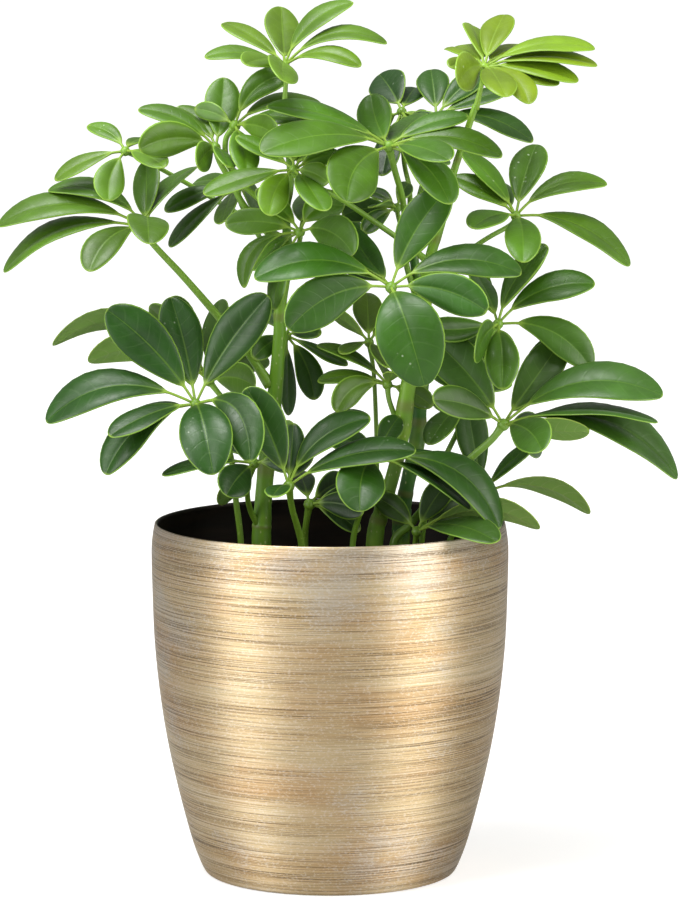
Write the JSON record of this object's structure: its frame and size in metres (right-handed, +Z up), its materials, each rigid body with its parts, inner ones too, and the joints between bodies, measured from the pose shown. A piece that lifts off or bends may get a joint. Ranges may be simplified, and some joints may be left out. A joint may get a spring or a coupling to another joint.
{
  "type": "potted umbrella plant",
  "caption": "Umbrella plant with green trunks and leaves spread like umbrellas, in a round brushed-gold pot.",
  "frame": {"origin": "middle of the pot's flat base, on the surface it stands on", "axes": "+Z up along the pot's axis, and the front that the picture shows faces -Y"},
  "size_m": [0.301, 0.181, 0.3812],
  "materials": {
    "pot_brushed_gold": "satin",
    "potting_mix": "matte",
    "green_trunk": "satin",
    "leaf_young_green": "satin",
    "leaf_mid_green": "satin",
    "leaf_deep_green": "satin"
  },
  "bodies": {
    "root": {"leaf_back_right_top": "leaf_deep_green", "leaf_back_top": "leaf_deep_green", "leaf_behind_left": "leaf_mid_green", "leaf_bright_centre": "leaf_young_green", "leaf_centre_left": "leaf_mid_green", "leaf_centre_top": "leaf_mid_green", "leaf_crown_left": "leaf_mid_green", "leaf_crown_right": "leaf_young_green", "leaf_far_centre": "leaf_mid_green", "leaf_far_left": "leaf_mid_green", "leaf_far_left_high": "leaf_mid_green", "leaf_far_low": "leaf_mid_green", "leaf_far_lower_left": "leaf_deep_green", "leaf_far_lower_right": "leaf_deep_green", "leaf_far_right_middle": "leaf_mid_green", "leaf_far_top": "leaf_mid_green", "leaf_front_centre": "leaf_mid_green", "leaf_inner_left": "leaf_mid_green", "leaf_inner_right": "leaf_mid_green", "leaf_inner_slim": "leaf_mid_green", "leaf_inner_top": "leaf_deep_green", "leaf_left_dark": "leaf_deep_green", "leaf_left_high": "leaf_mid_green", "leaf_left_inner": "leaf_mid_green", "leaf_low_centre": "leaf_deep_green", "leaf_low_dark": "leaf_deep_green", "leaf_low_front": "leaf_mid_green", "leaf_low_left": "leaf_deep_green", "leaf_lower_left": "leaf_deep_green", "leaf_lower_right": "leaf_deep_green", "leaf_right_high": "leaf_mid_green", "leaf_right_inner": "leaf_mid_green", "leaf_right_low": "leaf_deep_green", "leaf_right_middle": "leaf_mid_green", "leaf_rim_right": "leaf_mid_green", "pot": "pot_brushed_gold", "potting_mix": "potting_mix", "trunk_back": "green_trunk", "trunk_front": "green_trunk", "trunk_left": "green_trunk"}
  },
  "joints": []
}
